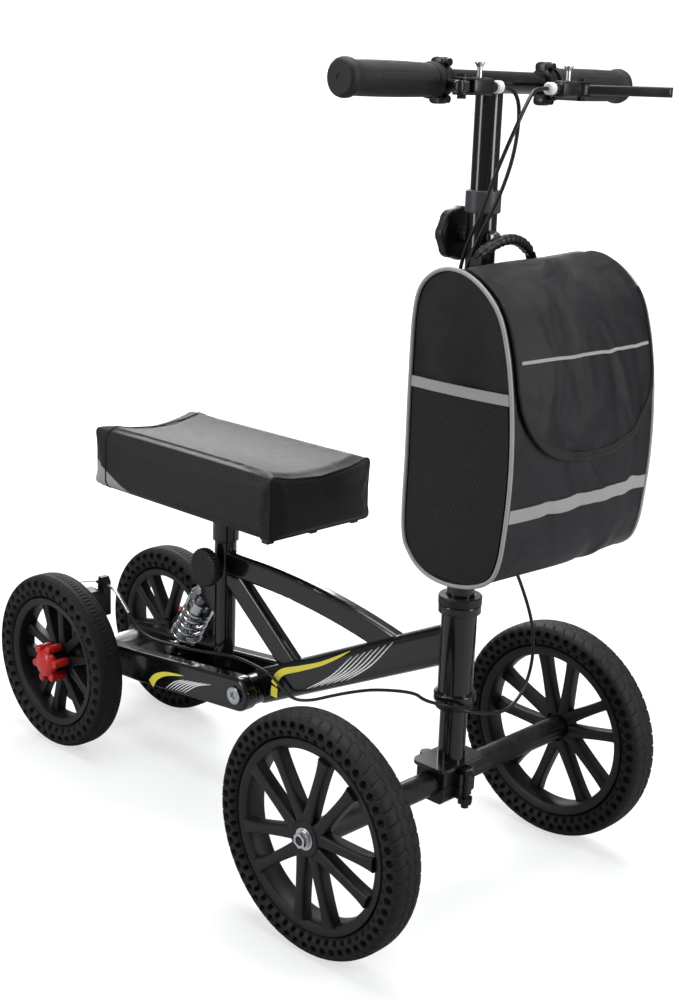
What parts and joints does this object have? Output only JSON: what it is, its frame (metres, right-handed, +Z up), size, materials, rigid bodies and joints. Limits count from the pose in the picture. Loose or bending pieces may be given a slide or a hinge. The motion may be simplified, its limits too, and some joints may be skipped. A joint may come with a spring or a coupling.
{
  "type": "knee scooter",
  "caption": "All-terrain knee scooter: padded knee rest on a sprung frame, steerable front axle, spoked solid-tyre wheels, T handlebar with brake levers, and a soft front bag.",
  "frame": {"origin": "on the floor under the middle of the outer box", "axes": "+X is forward, the way the scooter rolls; +Y is the rider's left; +Z is up"},
  "size_m": [1.0149, 0.5276, 1.045],
  "materials": {
    "frame_paint": "glossy black paint",
    "axle_paint": "satin black paint",
    "bare_steel": "zinc-plated steel",
    "chrome_steel": "polished",
    "tyre_rubber": "matt solid rubber",
    "rim_plastic": "satin moulded plastic",
    "grip_rubber": "moulded rubber",
    "black_plastic": "moulded",
    "grey_plastic": "satin moulded plastic",
    "clear_plastic": "translucent",
    "red_plastic": "moulded",
    "pad_vinyl": "soft vinyl",
    "plywood": "plain board",
    "bag_nylon": "coated nylon",
    "webbing": "webbing",
    "cable_black": "cable housing",
    "bronze": "plain bush",
    "disc_steel": "ground steel",
    "spring_steel": "chromed wire"
  },
  "bodies": {
    "frame": {"head_tube": "frame_paint", "headset_bearings": "bare_steel", "main_beam": "frame_paint", "arch_tube": "frame_paint", "seat_strut": "frame_paint", "seat_tube": "frame_paint", "frame_bolts": "chrome_steel", "pivot_bushes": "bronze", "beam_cable": "cable_black"},
    "steering": {"steering_column": "frame_paint", "column_collar": "grey_plastic", "headset_rings": "axle_paint", "front_axle": "axle_paint", "axle_clamp_upper": "axle_paint", "axle_clamp_lower": "axle_paint", "column_bolts": "bare_steel", "bag_body": "bag_nylon", "bag_handle": "webbing", "steer_cable": "cable_black", "lever_cables": "cable_black"},
    "tiller_clamp_knob": {"tiller_knob": "black_plastic"},
    "handlebar": {"tiller_tube": "frame_paint", "crossbar": "frame_paint", "handlebar_grips": "grip_rubber", "lever_brackets": "axle_paint", "barrel_adjusters": "clear_plastic", "handlebar_bolts": "bare_steel"},
    "right_lever": {"brake_lever_right": "axle_paint"},
    "left_lever": {"brake_lever_left": "axle_paint"},
    "right_lock_pin": {"lock_pin_right": "bare_steel"},
    "left_lock_pin": {"lock_pin_left": "bare_steel"},
    "seat": {"seat_post": "frame_paint", "pad_board": "plywood", "knee_pad": "pad_vinyl"},
    "seat_clamp_knob": {"seat_knob": "black_plastic"},
    "swing_arm": {"swing_arm_right": "frame_paint", "swing_arm_left": "frame_paint", "swing_bridge": "frame_paint", "rear_axle": "bare_steel", "rear_axle_knobs": "red_plastic", "swing_hardware": "bare_steel", "brake_caliper": "axle_paint", "arm_cable": "cable_black"},
    "brake_arm": {"brake_arm": "bare_steel"},
    "shock_upper": {"shock_body": "chrome_steel", "shock_spring": "spring_steel"},
    "shock_lower": {"shock_slider": "chrome_steel"},
    "front_right_wheel": {"front_right_tyre": "tyre_rubber", "front_right_rim": "rim_plastic", "front_right_bearing": "bare_steel"},
    "front_left_wheel": {"front_left_tyre": "tyre_rubber", "front_left_rim": "rim_plastic", "front_left_bearing": "bare_steel"},
    "rear_right_wheel": {"rear_right_tyre": "tyre_rubber", "rear_right_rim": "rim_plastic", "rear_right_bearing": "bare_steel", "brake_disc": "disc_steel"},
    "rear_left_wheel": {"rear_left_tyre": "tyre_rubber", "rear_left_rim": "rim_plastic", "rear_left_bearing": "bare_steel"}
  },
  "joints": [
    {"name": "steering_turn", "type": "hinge", "parent": "frame", "child": "steering", "pos_m": [0.326, 0, 0.327], "axis": [0, 0, 1], "range_deg": [-35, 35], "deforming": ["steer_cable"]},
    {"name": "tiller_height", "type": "slide", "parent": "steering", "child": "handlebar", "axis": [0, 0, 1], "range_m": [-0.1, 0.04], "deforming": ["lever_cables"]},
    {"name": "tiller_knob_turn", "type": "hinge", "parent": "steering", "child": "tiller_clamp_knob", "pos_m": [0.291, 0, 0.846], "axis": [1, 0, 0], "range_deg": [0, 360]},
    {"name": "right_lever_squeeze", "type": "hinge", "parent": "handlebar", "child": "right_lever", "pos_m": [0.376, -0.108, 1.015], "axis": [0, 0, -1], "range_deg": [0, 27], "stiffness_Nm_per_rad": 2, "springref_deg": -5.73},
    {"name": "left_lever_squeeze", "type": "hinge", "parent": "handlebar", "child": "left_lever", "pos_m": [0.376, 0.108, 1.015], "axis": [0, 0, 1], "range_deg": [0, 27], "stiffness_Nm_per_rad": 2, "springref_deg": -5.73},
    {"name": "right_lock_press", "type": "slide", "parent": "handlebar", "child": "right_lock_pin", "axis": [0, 0, -1], "range_m": [0, 0.003], "stiffness_N_per_m": 400, "springref_m": -0.002},
    {"name": "left_lock_press", "type": "slide", "parent": "handlebar", "child": "left_lock_pin", "axis": [0, 0, -1], "range_m": [0, 0.003], "stiffness_N_per_m": 400, "springref_m": -0.002},
    {"name": "seat_height", "type": "slide", "parent": "frame", "child": "seat", "axis": [0, 0, 1], "range_m": [0, 0.12]},
    {"name": "seat_knob_turn", "type": "hinge", "parent": "frame", "child": "seat_clamp_knob", "pos_m": [-0.117, -0.037, 0.334], "axis": [0, 1, 0], "range_deg": [0, 360]},
    {"name": "swing_arm_pivot", "type": "hinge", "parent": "frame", "child": "swing_arm", "pos_m": [-0.028, 0, 0.17], "axis": [0, 1, 0], "range_deg": [0, 4.5], "stiffness_Nm_per_rad": 1600, "springref_deg": -1.15, "deforming": ["arm_cable"]},
    {"name": "shock_swing", "type": "hinge", "parent": "frame", "child": "shock_upper", "pos_m": [-0.151, 0, 0.287], "axis": [0, 1, 0], "range_deg": [0, 4.5]},
    {"name": "shock_travel", "type": "slide", "parent": "shock_upper", "child": "shock_lower", "axis": [0.5134, 0, 0.8582], "range_m": [0, 0.016], "deforming": ["shock_spring"]},
    {"name": "brake_arm_pull", "type": "hinge", "parent": "swing_arm", "child": "brake_arm", "pos_m": [-0.403, -0.05, 0.188], "axis": [0, 1, 0], "range_deg": [0, 12]},
    {"name": "front_right_wheel_spin", "type": "hinge", "parent": "steering", "child": "front_right_wheel", "pos_m": [0.319, -0.2335, 0.1525], "axis": [0, 1, 0], "continuous": true},
    {"name": "front_left_wheel_spin", "type": "hinge", "parent": "steering", "child": "front_left_wheel", "pos_m": [0.319, 0.2335, 0.1525], "axis": [0, 1, 0], "continuous": true},
    {"name": "rear_right_wheel_spin", "type": "hinge", "parent": "swing_arm", "child": "rear_right_wheel", "pos_m": [-0.372, -0.11275, 0.1355], "axis": [0, 1, 0], "continuous": true},
    {"name": "rear_left_wheel_spin", "type": "hinge", "parent": "swing_arm", "child": "rear_left_wheel", "pos_m": [-0.372, 0.11275, 0.1355], "axis": [0, 1, 0], "continuous": true}
  ],
  "couplings": [
    {"joint": "shock_swing", "follows": "swing_arm_pivot", "ratio": 0.73466},
    {"joint": "shock_travel", "follows": "swing_arm_pivot", "m_per_rad": 0.1666},
    {"joint": "brake_arm_pull", "follows": "right_lever_squeeze", "ratio": 0.444}
  ]
}
